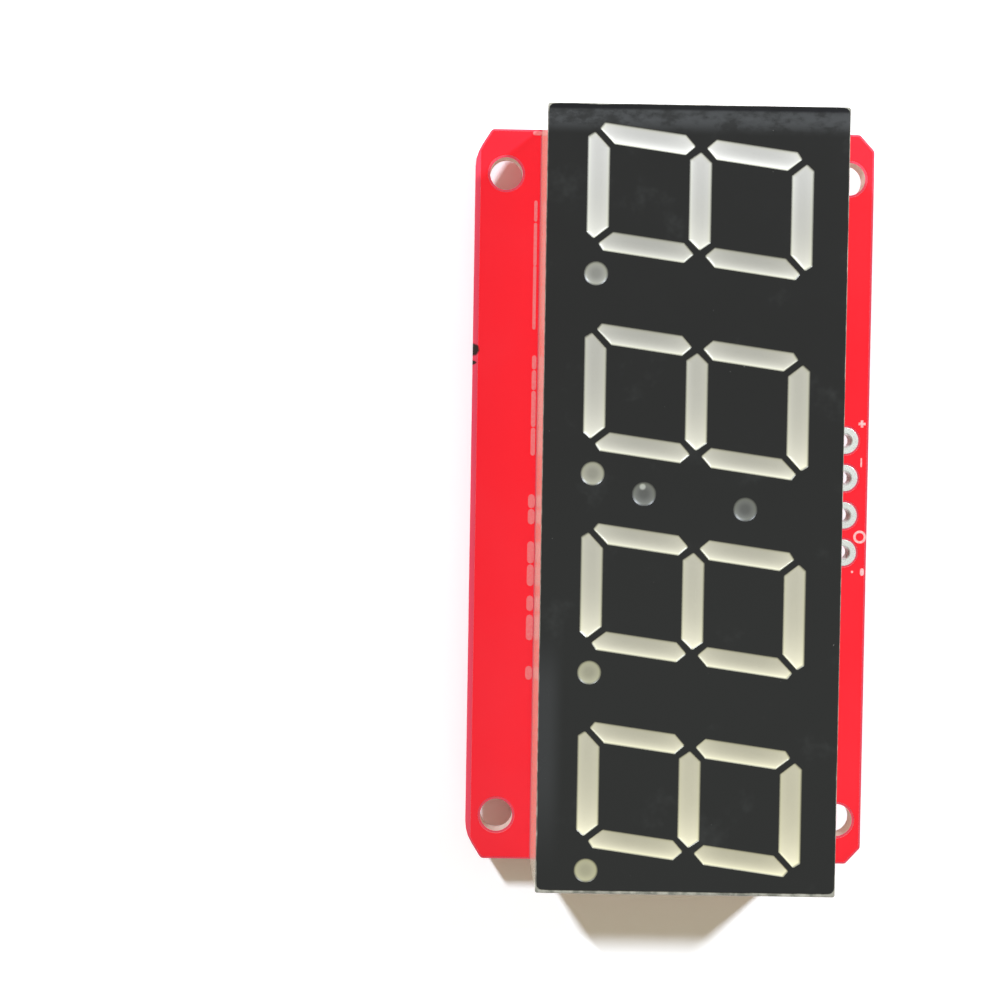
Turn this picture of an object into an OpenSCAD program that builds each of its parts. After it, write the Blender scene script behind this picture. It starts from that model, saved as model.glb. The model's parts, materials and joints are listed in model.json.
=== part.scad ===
// Four digit seven segment display module.
// A clock display with slanted digits is soldered over a circuit board that carries its driver.
// Lengths are in millimetres. X runs along the row of digits and Y towards the tops of the digits.
// Z points out of the face. The origin is the centre of the four mounting holes, at the board's back.

/* [Digits] */
// distance from one digit to the next
digit_pitch = 12.7; // [12.2:0.1:16]
// height of a digit over its lit bars
digit_h = 14.4; // [12:0.1:15.4]
// width of an upright digit over its lit bars
digit_w = 8.14; // [7:0.02:8.6]
// lean of the digits away from upright, in degrees
digit_slant = 7.8; // [0:0.2:10]
// height of the level bars
bar_h = 1.44; // [1:0.02:1.8]
// width of the upright bars
post_w = 1.32; // [1:0.02:1.7]
// gap between two bars that meet at a corner of the digit
corner_gap = 0.36; // [0.2:0.02:0.6]
// gap between the middle bar's point and the upright bars
middle_gap = 0.42; // [0.25:0.01:0.6]
// length of the middle bar's points
middle_point = 0.6; // [0.3:0.02:0.9]
// height of the upright bars' inner points above the middle line
post_tip = 0.32; // [0.2:0.02:0.6]
// bevel at the outer ends of the level bars, along the bar
bar_bevel_l = 0.36; // [0.2:0.02:0.6]
// bevel at the outer ends of the level bars, across the bar
bar_bevel_h = 0.47; // [0.2:0.01:0.7]
// bevel at the outer ends of the upright bars, across the bar
post_bevel_w = 0.44; // [0.2:0.02:0.6]
// bevel at the outer ends of the upright bars, along the bar
post_bevel_l = 0.33; // [0.2:0.01:0.6]
// rounding of the bars' corners
bar_corner_r = 0.12; // [0.04:0.01:0.16]
// diameter of the decimal points and the colon's dots
dot_d = 1.55; // [1:0.05:1.8]
// distance from a digit's side to the centre of its decimal point
point_offset = 1.48; // [1.3:0.02:1.7]
// height of the decimal point's centre above the digit's foot
point_rise = 0.67; // [0.5:0.01:2]
// distance between the colon's dots
colon_pitch = 6.46; // [4:0.02:10]

/* [Display housing] */
// how much shorter the housing's face is than the row of digit pitches
stacking_gap = 0.4; // [0.3:0.05:1]
// width of the housing at its face
display_w = 19.2; // [18.4:0.1:24]
// height of the housing over the board, with its face layer
display_h = 8; // [6:0.1:10]
// thickness of the housing's skirt around its back recess
skirt_t = 0.8; // [0.5:0.05:1]
// moulding draft, as how far each side of the housing spreads from its face to its foot
housing_draft = 0.2; // [0.05:0.05:0.3]
// radius of the housing's upright edges at its foot
housing_edge_r = 0.8; // [0.1:0.05:1]
// shift of the digits from the middle of the face, along the row
digits_shift_x = -0.05; // [-0.3:0.05:0.3]
// shift of the digits from the middle of the face, across the row
digits_shift_y = 0.15; // [-0.3:0.05:0.3]
// thickness of the black layer on the face
face_layer_t = 0.1; // [0.05:0.05:0.3]
// strip of the housing left bare along three sides of the black layer
face_inset = 0.05; // [0.05:0.05:0.3]
// strip of the housing left bare beside the last digit
bare_end = 0.25; // [0.05:0.05:0.4]
// corner radius of the black layer
face_corner_r = 0.4; // [0.1:0.05:1]

/* [Lamp board inside the housing] */
// thickness of the lamp board
lamp_board_t = 1; // [0.6:0.1:1.6]
// clearance between the lamp board and the skirt
lamp_board_clearance = 0.1; // [0.05:0.05:0.3]
// thickness of the potting behind the lamp board
potting_t = 1.2; // [0.6:0.1:1.8]
// space between the potting and the circuit board
potting_recess = 0.5; // [0.2:0.1:1]
// side of a light emitting die
die_w = 0.3; // [0.2:0.05:0.5]
// thickness of a die
die_t = 0.2; // [0.1:0.05:0.4]

/* [Display pins] */
// pins in each of the two rows
pins_per_row = 6; // [4:1:8]
// distance between pins in a row
pin_pitch = 2.54; // [2:0.01:2.6]
// distance from each row of pins to the housing's side
pin_side_margin = 1.98; // [1.6:0.02:2.4]
// diameter of a pin
pin_d = 0.5; // [0.4:0.05:0.7]
// length of a pin below the circuit board
pin_reach = 1.6; // [1.2:0.1:2]
// clearance around a pin in the circuit board, filled with solder
pin_hole_clearance = 0.2; // [0.1:0.05:0.3]
// diameter of a solder joint at the board
joint_d = 1.9; // [1.5:0.1:2.2]
// height of a solder joint
joint_h = 1.05; // [0.7:0.05:1.2]
// thickness of the solder at the tip of a joint
joint_tip = 0.08; // [0.04:0.02:0.2]

/* [Circuit board] */
// thickness of the board
board_t = 1.6; // [0.8:0.1:2.4]
// how far the housing reaches past each end of the board
end_overhang = 0.4; // [0:0.05:0.8]
// shift of the housing from the middle of the board, along the row
display_shift_x = 0.05; // [-0.5:0.05:0.5]
// board beyond the housing, on the header side
header_strip = 3.15; // [3.1:0.05:8]
// board beyond the housing, on the side away from the header
plain_strip = 4.65; // [3.7:0.05:8]
// corner cuts on the header side, along the board
header_cut_l = 1.1; // [0.4:0.1:1.6]
// corner cuts on the header side, across the board
header_cut_w = 1; // [0.4:0.1:1.6]
// corner cuts on the plain side, along the board
plain_cut_l = 1.75; // [0.4:0.05:2]
// corner cuts on the plain side, across the board
plain_cut_w = 1.1; // [0.4:0.1:2]
// rounding where a corner cut meets an edge
cut_corner_r = 0.3; // [0.1:0.1:0.8]
// longer rounding where a corner cut runs into the plain long edge
cut_bend_r = 2.8; // [0.4:0.2:3]

/* [Mounting holes] */
// diameter of the four mounting holes
hole_d = 2.2; // [1.8:0.1:2.4]
// distance from the holes to the ends of the board
hole_end_margin = 3; // [2.6:0.1:6]
// distance from the holes to the edge on the header side
hole_header_margin = 1.7; // [1.6:0.1:1.8]
// distance from the holes to the edge on the plain side
hole_plain_margin = 2.1; // [1.6:0.1:3]

/* [Header holes] */
// number of header holes
header_holes = 4; // [2:1:8]
// distance between header holes
header_pitch = 2.54; // [2:0.01:2.6]
// bore of a plated header hole
header_hole_d = 1; // [0.8:0.05:1.1]
// diameter of the plated ring around a header hole
header_ring_d = 1.8; // [1.5:0.05:1.9]
// thickness of rings and pads on the board
pad_t = 0.06; // [0.04:0.02:0.14]
// distance from the header row to the edge of the board
header_margin = 1.6; // [1.4:0.05:1.7]
// shift of the header row from the middle of the board
header_shift_x = -0.3; // [-6:0.1:6]

/* [Driver chip on the back] */
// leads on each side of the chip
leads_per_side = 14; // [8:1:14]
// distance between leads
lead_pitch = 1.27; // [1:0.01:1.27]
// width of a lead
lead_w = 0.42; // [0.3:0.02:0.5]
// thickness of a lead
lead_t = 0.25; // [0.15:0.05:0.3]
// length of a lead's foot on the board
lead_foot = 0.8; // [0.5:0.05:0.9]
// distance over the leads of both sides
lead_span = 10.3; // [9.9:0.1:10.8]
// length of the chip's body beyond its rows of leads
chip_end = 0.12; // [0.1:0.02:0.6]
// width of the chip's body
chip_w = 7.5; // [7:0.1:7.8]
// height of the chip's body
chip_h = 2.3; // [1.8:0.1:2.6]
// gap between the chip's body and the board
chip_standoff = 0.15; // [0.05:0.05:0.3]
// draft of the chip's body at its flat faces
chip_draft = 0.15; // [0.05:0.05:0.3]
// diameter of the dimple that marks the first lead
dimple_d = 1; // [0.6:0.1:1.6]
// depth of that dimple
dimple_depth = 0.1; // [0.05:0.05:0.3]
// distance from the dimple's centre to the edges of the chip
dimple_margin = 1.5; // [1:0.1:2]

/* [Small parts on the back] */
// length of a capacitor or resistor over its end caps
small_l = 2; // [1.6:0.1:2.4]
// width of a capacitor or resistor
small_w = 1.25; // [0.8:0.05:1.4]
// height of a capacitor
capacitor_h = 0.9; // [0.6:0.05:1.2]
// height of a resistor
resistor_h = 0.5; // [0.4:0.05:0.8]
// length of an end cap
end_cap_l = 0.4; // [0.3:0.05:0.5]
// how far an end cap stands proud of the part's body
end_cap_proud = 0.03; // [0.02:0.01:0.06]
// distance from the chip's end to the capacitors and resistors
small_gap = 2.6; // [2:0.1:3.4]
// distance between neighbouring capacitors or resistors
small_pitch = 2.5; // [2:0.1:3]
// length of an address pad
address_pad_l = 1.1; // [0.8:0.1:1.4]
// width of an address pad
address_pad_w = 1.3; // [0.8:0.1:1.6]
// gap between the two pads of a pair
address_pad_gap = 0.35; // [0.2:0.05:0.6]

/* [Hidden] */
// piece to draw, or all of them
digits = 4;
letters = "abcdefg";
corner_steps = 3;
joint_steps = 6;
joint_curve = 2.5;
fine = 48;
small = 24;
// how far a cutting shape reaches past the face that it opens
cut = 1;
lean = tan(digit_slant);

// sizes that follow from the ones above
display_l = digits * digit_pitch - stacking_gap;
board_l = display_l - 2 * end_overhang;
board_w = display_w + header_strip + plain_strip;
hole_pitch_x = board_l - 2 * hole_end_margin;
hole_pitch_y = board_w - hole_header_margin - hole_plain_margin;
header_edge_y = hole_pitch_y / 2 + hole_header_margin;
plain_edge_y = header_edge_y - board_w;
header_row_y = header_edge_y - header_margin;
header_hole_r = header_hole_d / 2;
pin_row_pitch = display_w - 2 * pin_side_margin;
face_l = display_l - face_inset - bare_end;
face_w = display_w - 2 * face_inset;
recess_l = display_l - 2 * skirt_t;
recess_w = display_w - 2 * skirt_t;
display_x = display_shift_x;
display_y = header_edge_y - header_strip - display_w / 2;
face_x = display_x + (face_inset - bare_end) / 2;
digits_x = display_x + digits_shift_x;
digits_y = display_y + digits_shift_y;

// levels, from the back of the board to the face
face_z = board_t + display_h;
housing_top_z = face_z - face_layer_t;
potting_z = board_t + potting_recess;
lamp_board_z = potting_z + potting_t;
lamp_z = lamp_board_z + lamp_board_t;

pin_r = pin_d / 2;
pin_hole_r = pin_r + pin_hole_clearance;
pin_row_l = (pins_per_row - 1) * pin_pitch;
chip_l = leads_per_side * lead_pitch + chip_end;
lead_row_l = (leads_per_side - 1) * lead_pitch;
chip_mid_z = -chip_standoff - chip_h / 2;
small_x = chip_l / 2 + small_gap;

// every piece, by the name its switch uses

// ---------------------------------------------------------------- outlines

// Points along an arc of radius r that rounds the corner b between a and c.
function rounded_corner(a, b, c, r) =
    let (
        to_a = (a - b) / norm(a - b),
        to_c = (c - b) / norm(c - b),
        half = acos(to_a * to_c) / 2,
        start = b + to_a * r / tan(half),
        end = b + to_c * r / tan(half),
        centre = b + (to_a + to_c) / norm(to_a + to_c) * r / sin(half),
        turn = 180 - 2 * half
    )
    [for (k = [0 : corner_steps])
        let (t = k / corner_steps)
        centre + (sin((1 - t) * turn) * (start - centre) + sin(t * turn) * (end - centre)) / sin(turn)];

// An outline with all its corners rounded.
function rounded_outline(pts, r) = rounded_each(pts, [for (p = pts) r]);

// An outline whose corners are rounded by the radius listed for each.
function rounded_each(pts, radii) =
    let (n = len(pts))
    [for (i = [0 : n - 1]) each rounded_corner(pts[(i + n - 1) % n], pts[i], pts[(i + 1) % n], radii[i])];

function flip_x(pts) = [for (p = pts) [-p[0], p[1]]];
function flip_y(pts) = [for (p = pts) [p[0], -p[1]]];
function leaning(pts) = [for (p = pts) [p[0] + lean * p[1], p[1]]];

// The corner of a digit is mitred from its inner to its outer corner, with the gap along the mitre.
inner_x = digit_w / 2 - post_w;
inner_y = digit_h / 2 - bar_h;
mitre = bar_h / post_w;
mitre_l = norm([post_w, bar_h]);
half_gap_x = corner_gap / 2 * mitre_l / bar_h;
half_gap_y = corner_gap / 2 * mitre_l / post_w;
bar_inner_x = inner_x - half_gap_x;
bar_tip_x = bar_inner_x + (bar_h - bar_bevel_h) / mitre;
post_inner_y = inner_y - half_gap_y;
post_tip_y = post_inner_y + (post_w - post_bevel_w) * mitre;
post_shoulder_y = post_tip + post_w / 2;
middle_tip_x = inner_x + post_shoulder_y - middle_gap * sqrt(2);

// Upright outlines about the digit's centre: the top bar, the upper right bar and the middle bar.
function top_bar() = [
    [-bar_inner_x, inner_y],
    [bar_inner_x, inner_y],
    [bar_tip_x, digit_h / 2 - bar_bevel_h],
    [bar_tip_x - bar_bevel_l, digit_h / 2],
    [bar_bevel_l - bar_tip_x, digit_h / 2],
    [-bar_tip_x, digit_h / 2 - bar_bevel_h]
];
function upper_right_post() = [
    [inner_x, post_shoulder_y],
    [inner_x + post_w / 2, post_tip],
    [inner_x + post_w, post_shoulder_y],
    [inner_x + post_w, post_tip_y - post_bevel_l],
    [inner_x + post_w - post_bevel_w, post_tip_y],
    [inner_x, post_inner_y]
];
function middle_bar() = [
    [-middle_tip_x, 0],
    [middle_point - middle_tip_x, -bar_h / 2],
    [middle_tip_x - middle_point, -bar_h / 2],
    [middle_tip_x, 0],
    [middle_tip_x - middle_point, bar_h / 2],
    [middle_point - middle_tip_x, bar_h / 2]
];

// Outline of the segment with index s, in the order a to g.
function upright_segment(s) =
    s == 0 ? top_bar() :
    s == 1 ? upper_right_post() :
    s == 2 ? flip_y(upper_right_post()) :
    s == 3 ? flip_y(top_bar()) :
    s == 4 ? flip_x(flip_y(upper_right_post())) :
    s == 5 ? flip_x(upper_right_post()) :
    middle_bar();
function segment_outline(s) = rounded_outline(leaning(upright_segment(s)), bar_corner_r);

// Middle of a segment on the lamp board, where its die sits.
function segment_middle(s) =
    let (
        post_x = digit_w / 2 - post_w / 2,
        post_y = (post_shoulder_y + post_inner_y) / 2,
        bar_y = digit_h / 2 - bar_h / 2,
        x = s == 1 || s == 2 ? post_x : s == 4 || s == 5 ? -post_x : 0,
        y = s == 0 ? bar_y : s == 3 ? -bar_y : s == 6 ? 0 : s == 1 || s == 5 ? post_y : -post_y
    )
    [x + lean * y, y];

function digit_x(d) = digits_x + (d - (digits + 1) / 2) * digit_pitch;
point_y = point_rise - digit_h / 2;
point_x = digit_w / 2 + point_offset + lean * point_y;

// Where the round lamps are: a decimal point for each digit and the colon's two dots.
function point_at(d) = [digit_x(d) + point_x, digits_y + point_y];
function colon_at(up) = [digits_x + up * lean * colon_pitch / 2, digits_y + up * colon_pitch / 2];
dot_places = [for (d = [1 : digits]) point_at(d), colon_at(1), colon_at(-1)];

pin_places = [for (row = [-1, 1], k = [0 : pins_per_row - 1])
    [display_x - pin_row_l / 2 + k * pin_pitch, display_y + row * pin_row_pitch / 2]];
header_places = [for (k = [0 : header_holes - 1])
    [header_shift_x + (k - (header_holes - 1) / 2) * header_pitch, header_row_y]];
hole_places = [for (sx = [-1, 1], sy = [-1, 1]) [sx * hole_pitch_x / 2, sy * hole_pitch_y / 2]];

// ---------------------------------------------------------------- shared shapes

module rounded_block(l, w, h, r) {
    half_l = l / 2;
    half_w = w / 2;
    linear_extrude(h)
        polygon(rounded_outline([
            [-half_l, -half_w], [half_l, -half_w], [half_l, half_w], [-half_l, half_w]
        ], r));
}

module segment_prism(d, s, z, h) {
    translate([digit_x(d), digits_y, z])
        linear_extrude(h) polygon(segment_outline(s));
}

module dot_prism(at, z, h) {
    translate([at[0], at[1], z])
        cylinder(h = h, r = dot_d / 2, $fn = fine);
}

// All the light openings, between two levels.
module light_openings(z, h) {
    for (d = [1 : digits], s = [0 : len(letters) - 1]) segment_prism(d, s, z, h);
    for (at = dot_places) dot_prism(at, z, h);
}

module die_at(at) {
    translate([at[0] - die_w / 2, at[1] - die_w / 2, lamp_z])
        cube([die_w, die_w, die_t]);
}

// Clear resin that fills one light opening, cast around its die.
module segment_resin(d, s) {
    difference() {
        segment_prism(d, s, lamp_z, housing_top_z - lamp_z);
        die_at([digit_x(d), digits_y] + segment_middle(s));
    }
}

module dot_resin(at) {
    difference() {
        dot_prism(at, lamp_z, housing_top_z - lamp_z);
        die_at(at);
    }
}

module pin_bores(z, h, r) {
    for (at = pin_places) translate([at[0], at[1], z]) cylinder(h = h, r = r, $fn = small);
}

// ---------------------------------------------------------------- circuit board

module circuit_board() {
    color([0.86, 0.06, 0.09])
    difference() {
        linear_extrude(board_t)
            polygon(rounded_each([
                [-board_l / 2, plain_edge_y + plain_cut_w],
                [plain_cut_l - board_l / 2, plain_edge_y],
                [board_l / 2 - plain_cut_l, plain_edge_y],
                [board_l / 2, plain_edge_y + plain_cut_w],
                [board_l / 2, header_edge_y - header_cut_w],
                [board_l / 2 - header_cut_l, header_edge_y],
                [header_cut_l - board_l / 2, header_edge_y],
                [-board_l / 2, header_edge_y - header_cut_w]
            ], [for (k = [0 : 7]) k == 1 || k == 2 ? cut_bend_r : cut_corner_r]));
        for (at = hole_places)
            translate([at[0], at[1], -cut])
                cylinder(h = board_t + 2 * cut, r = hole_d / 2, $fn = fine);
        for (at = header_places)
            translate([at[0], at[1], -cut])
                cylinder(h = board_t + 2 * cut, r = header_hole_r, $fn = fine);
        pin_bores(-cut, board_t + 2 * cut, pin_hole_r);
    }
}

// A plated ring lies around each header hole, on both faces of the board.
module header_rings() {
    color([0.82, 0.82, 0.80])
    for (at = header_places, z = [-pad_t, board_t])
        translate([at[0], at[1], z])
            difference() {
                cylinder(h = pad_t, r = header_ring_d / 2, $fn = fine);
                translate([0, 0, -cut])
                    cylinder(h = pad_t + 2 * cut, r = header_hole_r, $fn = fine);
            }
}

// ---------------------------------------------------------------- display

// A block on the board whose four sides lean inwards to the size of the face.
module drafted_block() {
    foot_l = display_l / 2 + housing_draft;
    foot_w = display_w / 2 + housing_draft;
    intersection() {
        translate([0, 0, board_t])
            rounded_block(2 * foot_l, 2 * foot_w, housing_top_z - board_t, housing_edge_r);
        translate([-foot_l, 0, 0])
            rotate([90, 0, 90])
                linear_extrude(2 * foot_l)
                    polygon([
                        [-foot_w, board_t],
                        [foot_w, board_t],
                        [display_w / 2, housing_top_z],
                        [-display_w / 2, housing_top_z]
                    ]);
        translate([0, foot_w, 0])
            rotate([90, 0, 0])
                linear_extrude(2 * foot_w)
                    polygon([
                        [-foot_l, board_t],
                        [foot_l, board_t],
                        [display_l / 2, housing_top_z],
                        [-display_l / 2, housing_top_z]
                    ]);
    }
}

// One moulding: the face with its light openings, and a skirt around the recess at the back.
module display_housing() {
    color([0.90, 0.89, 0.82])
    difference() {
        translate([display_x, display_y, 0]) drafted_block();
        translate([display_x - recess_l / 2, display_y - recess_w / 2, board_t - cut])
            cube([recess_l, recess_w, lamp_z - board_t + cut]);
        light_openings(lamp_z - cut, housing_top_z - lamp_z + 2 * cut);
    }
}

module face_layer() {
    color([0.16, 0.17, 0.16])
    difference() {
        translate([face_x, display_y, housing_top_z])
            rounded_block(face_l, face_w, face_layer_t, face_corner_r);
        light_openings(housing_top_z - cut, face_layer_t + 2 * cut);
    }
}

module lamp_board() {
    color([0.75, 0.72, 0.52])
    difference() {
        translate([display_x, display_y, lamp_board_z + lamp_board_t / 2])
            cube([
                recess_l - 2 * lamp_board_clearance,
                recess_w - 2 * lamp_board_clearance,
                lamp_board_t
            ], center = true);
        pin_bores(lamp_board_z - cut, lamp_board_t + 2 * cut, pin_r);
    }
}

module led_dies() {
    color([0.80, 0.75, 0.45]) {
        for (d = [1 : digits], s = [0 : len(letters) - 1])
            die_at([digit_x(d), digits_y] + segment_middle(s));
        for (at = dot_places) die_at(at);
    }
}

module potting() {
    color([0.80, 0.80, 0.74])
    difference() {
        translate([display_x, display_y, potting_z + potting_t / 2])
            cube([recess_l, recess_w, potting_t], center = true);
        pin_bores(potting_z - cut, potting_t + 2 * cut, pin_r);
    }
}

module display_pins() {
    color([0.83, 0.83, 0.81])
    pin_bores(-pin_reach, lamp_z + pin_reach, pin_r);
}

// Flank of a solder joint, hollow like a trumpet's mouth, from its tip up to the board.
function joint_flank() =
    let (tip_r = pin_r + joint_tip)
    [for (k = [joint_steps : -1 : 0])
        let (t = k / joint_steps)
        [tip_r + (joint_d / 2 - tip_r) * pow(1 - t, joint_curve), -joint_h * t]];

// Solder fills the hole around each pin and stands as a cone on the back of the board.
module solder_joints() {
    color([0.78, 0.79, 0.80])
    for (at = pin_places)
        translate([at[0], at[1], 0])
            rotate_extrude($fn = small)
                polygon([
                    [pin_r, -joint_h],
                    each joint_flank(),
                    [pin_hole_r, 0],
                    [pin_hole_r, board_t],
                    [pin_r, board_t]
                ]);
}

// ---------------------------------------------------------------- segments

// The segment of digit d that goes by the given letter.
module lit(d, letter) {
    color([0.86, 0.86, 0.80])
        segment_resin(d, search(letter, letters)[0]);
}

module dot(at) {
    color([0.70, 0.71, 0.67])
        dot_resin(at);
}

module digit_1_segment_a() { lit(1, "a"); }
module digit_1_segment_b() { lit(1, "b"); }
module digit_1_segment_c() { lit(1, "c"); }
module digit_1_segment_d() { lit(1, "d"); }
module digit_1_segment_e() { lit(1, "e"); }
module digit_1_segment_f() { lit(1, "f"); }
module digit_1_segment_g() { lit(1, "g"); }
module digit_1_decimal_point() { dot(point_at(1)); }
module digit_2_segment_a() { lit(2, "a"); }
module digit_2_segment_b() { lit(2, "b"); }
module digit_2_segment_c() { lit(2, "c"); }
module digit_2_segment_d() { lit(2, "d"); }
module digit_2_segment_e() { lit(2, "e"); }
module digit_2_segment_f() { lit(2, "f"); }
module digit_2_segment_g() { lit(2, "g"); }
module digit_2_decimal_point() { dot(point_at(2)); }
module digit_3_segment_a() { lit(3, "a"); }
module digit_3_segment_b() { lit(3, "b"); }
module digit_3_segment_c() { lit(3, "c"); }
module digit_3_segment_d() { lit(3, "d"); }
module digit_3_segment_e() { lit(3, "e"); }
module digit_3_segment_f() { lit(3, "f"); }
module digit_3_segment_g() { lit(3, "g"); }
module digit_3_decimal_point() { dot(point_at(3)); }
module digit_4_segment_a() { lit(4, "a"); }
module digit_4_segment_b() { lit(4, "b"); }
module digit_4_segment_c() { lit(4, "c"); }
module digit_4_segment_d() { lit(4, "d"); }
module digit_4_segment_e() { lit(4, "e"); }
module digit_4_segment_f() { lit(4, "f"); }
module digit_4_segment_g() { lit(4, "g"); }
module digit_4_decimal_point() { dot(point_at(4)); }
module colon_upper_dot() { dot(colon_at(1)); }
module colon_lower_dot() { dot(colon_at(-1)); }

// ---------------------------------------------------------------- parts on the back

// The body tapers from its middle, where the leads come out, to its flat faces.
module chip_body() {
    low = -chip_standoff - chip_h;
    high = -chip_standoff;
    color([0.13, 0.13, 0.14])
    translate([display_x, display_y, 0])
        difference() {
            intersection() {
                translate([-chip_l / 2, 0, 0])
                    rotate([90, 0, 90])
                        linear_extrude(chip_l)
                            polygon([
                                [chip_draft - chip_w / 2, low],
                                [chip_w / 2 - chip_draft, low],
                                [chip_w / 2, chip_mid_z - lead_t / 2],
                                [chip_w / 2, chip_mid_z + lead_t / 2],
                                [chip_w / 2 - chip_draft, high],
                                [chip_draft - chip_w / 2, high],
                                [-chip_w / 2, chip_mid_z + lead_t / 2],
                                [-chip_w / 2, chip_mid_z - lead_t / 2]
                            ]);
                translate([0, chip_w / 2, 0])
                    rotate([90, 0, 0])
                        linear_extrude(chip_w)
                            polygon([
                                [chip_draft - chip_l / 2, low],
                                [chip_l / 2 - chip_draft, low],
                                [chip_l / 2, chip_mid_z - lead_t / 2],
                                [chip_l / 2, chip_mid_z + lead_t / 2],
                                [chip_l / 2 - chip_draft, high],
                                [chip_draft - chip_l / 2, high],
                                [-chip_l / 2, chip_mid_z + lead_t / 2],
                                [-chip_l / 2, chip_mid_z - lead_t / 2]
                            ]);
            }
            translate([dimple_margin - chip_l / 2, dimple_margin - chip_w / 2, low - cut])
                cylinder(h = cut + dimple_depth, r = dimple_d / 2, $fn = small);
        }
}

// Gull wing leads, bent from the middle of the body down to a foot on the board.
module chip_leads() {
    tip = lead_span / 2;
    heel = tip - lead_foot;
    top = chip_mid_z - lead_t / 2;
    low = chip_mid_z + lead_t / 2;
    color([0.80, 0.81, 0.82])
    translate([display_x, display_y, 0])
        for (turned = [0, 180], k = [0 : leads_per_side - 1])
            rotate([0, 0, turned])
                translate([k * lead_pitch - lead_row_l / 2 - lead_w / 2, 0, 0])
                    rotate([90, 0, 90])
                        linear_extrude(lead_w)
                            polygon([
                                [chip_w / 2, top],
                                [heel - lead_t / 2, top],
                                [heel + lead_t / 2, top + lead_t / 2],
                                [heel + lead_t, -lead_t],
                                [tip, -lead_t],
                                [tip, 0],
                                [heel + lead_t / 2, 0],
                                [heel, -lead_t / 2],
                                [heel - lead_t / 2, low],
                                [chip_w / 2, low]
                            ]);
}

// Middle of the small part with number k, at one end of the chip.
function small_at(end, k) = [display_x + end * small_x, display_y + (k - 0.5) * small_pitch];

module small_body(at, h) {
    translate([at[0], at[1], -h / 2])
        cube([small_l - 2 * end_cap_l, small_w, h], center = true);
}

module small_caps(at, h) {
    for (end = [-1, 1])
        translate([at[0] + end * (small_l - end_cap_l) / 2, at[1], -(h + end_cap_proud) / 2])
            cube([end_cap_l, small_w + 2 * end_cap_proud, h + end_cap_proud], center = true);
}

module capacitor_bodies() {
    color([0.70, 0.58, 0.42])
    for (k = [0, 1]) small_body(small_at(1, k), capacitor_h);
}

module resistor_bodies() {
    color([0.12, 0.12, 0.13])
    for (k = [0, 1]) small_body(small_at(-1, k), resistor_h);
}

module end_caps() {
    color([0.80, 0.80, 0.80])
    for (k = [0, 1]) {
        small_caps(small_at(1, k), capacitor_h);
        small_caps(small_at(-1, k), resistor_h);
    }
}

// Pairs of bare pads that can be bridged with solder to set the module's address.
module address_pads() {
    pad_x = display_x + small_x + small_l + 1.5 * address_pad_l;
    color([0.80, 0.78, 0.70])
    for (k = [-1, 0, 1], side = [0, 1])
        translate([
            pad_x + side * (address_pad_l + address_pad_gap),
            display_y + k * 1.5 * address_pad_w,
            -pad_t / 2
        ])
            cube([address_pad_l, address_pad_w, pad_t], center = true);
}

// ---------------------------------------------------------------- pieces

circuit_board();
header_rings();
display_housing();
face_layer();
digit_1_segment_a();
digit_1_segment_b();
digit_1_segment_c();
digit_1_segment_d();
digit_1_segment_e();
digit_1_segment_f();
digit_1_segment_g();
digit_1_decimal_point();
digit_2_segment_a();
digit_2_segment_b();
digit_2_segment_c();
digit_2_segment_d();
digit_2_segment_e();
digit_2_segment_f();
digit_2_segment_g();
digit_2_decimal_point();
digit_3_segment_a();
digit_3_segment_b();
digit_3_segment_c();
digit_3_segment_d();
digit_3_segment_e();
digit_3_segment_f();
digit_3_segment_g();
digit_3_decimal_point();
digit_4_segment_a();
digit_4_segment_b();
digit_4_segment_c();
digit_4_segment_d();
digit_4_segment_e();
digit_4_segment_f();
digit_4_segment_g();
digit_4_decimal_point();
colon_upper_dot();
colon_lower_dot();
lamp_board();
led_dies();
potting();
display_pins();
solder_joints();
chip_body();
chip_leads();
capacitor_bodies();
resistor_bodies();
end_caps();
address_pads();
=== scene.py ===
import json
from math import cos, exp, pi, radians, sin, tan

import bmesh
import bpy
from mathutils import Euler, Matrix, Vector, noise


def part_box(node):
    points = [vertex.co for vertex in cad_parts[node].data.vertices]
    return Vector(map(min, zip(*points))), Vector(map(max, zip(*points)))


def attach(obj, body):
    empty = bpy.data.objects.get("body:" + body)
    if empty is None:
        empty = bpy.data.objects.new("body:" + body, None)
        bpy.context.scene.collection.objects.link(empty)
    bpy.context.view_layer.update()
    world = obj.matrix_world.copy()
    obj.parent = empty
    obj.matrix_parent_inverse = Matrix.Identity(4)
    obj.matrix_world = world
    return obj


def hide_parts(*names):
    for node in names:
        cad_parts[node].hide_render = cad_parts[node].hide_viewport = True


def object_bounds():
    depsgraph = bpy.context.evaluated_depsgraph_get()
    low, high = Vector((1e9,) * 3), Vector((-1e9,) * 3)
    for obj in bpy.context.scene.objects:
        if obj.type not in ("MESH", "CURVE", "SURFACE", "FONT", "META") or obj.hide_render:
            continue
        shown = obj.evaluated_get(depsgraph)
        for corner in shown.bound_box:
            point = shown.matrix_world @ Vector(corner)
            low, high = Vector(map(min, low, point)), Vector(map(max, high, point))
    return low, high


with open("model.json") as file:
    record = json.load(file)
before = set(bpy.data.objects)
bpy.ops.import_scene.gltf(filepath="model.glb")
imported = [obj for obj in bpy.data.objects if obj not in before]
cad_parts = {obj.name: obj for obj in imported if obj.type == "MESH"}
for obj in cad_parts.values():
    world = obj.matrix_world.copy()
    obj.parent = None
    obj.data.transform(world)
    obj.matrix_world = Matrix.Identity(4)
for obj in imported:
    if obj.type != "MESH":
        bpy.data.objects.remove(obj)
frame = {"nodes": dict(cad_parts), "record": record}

cad_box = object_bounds()
nodes = frame["nodes"]
MM = 0.001

# -------------------------------- camera and light

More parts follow.
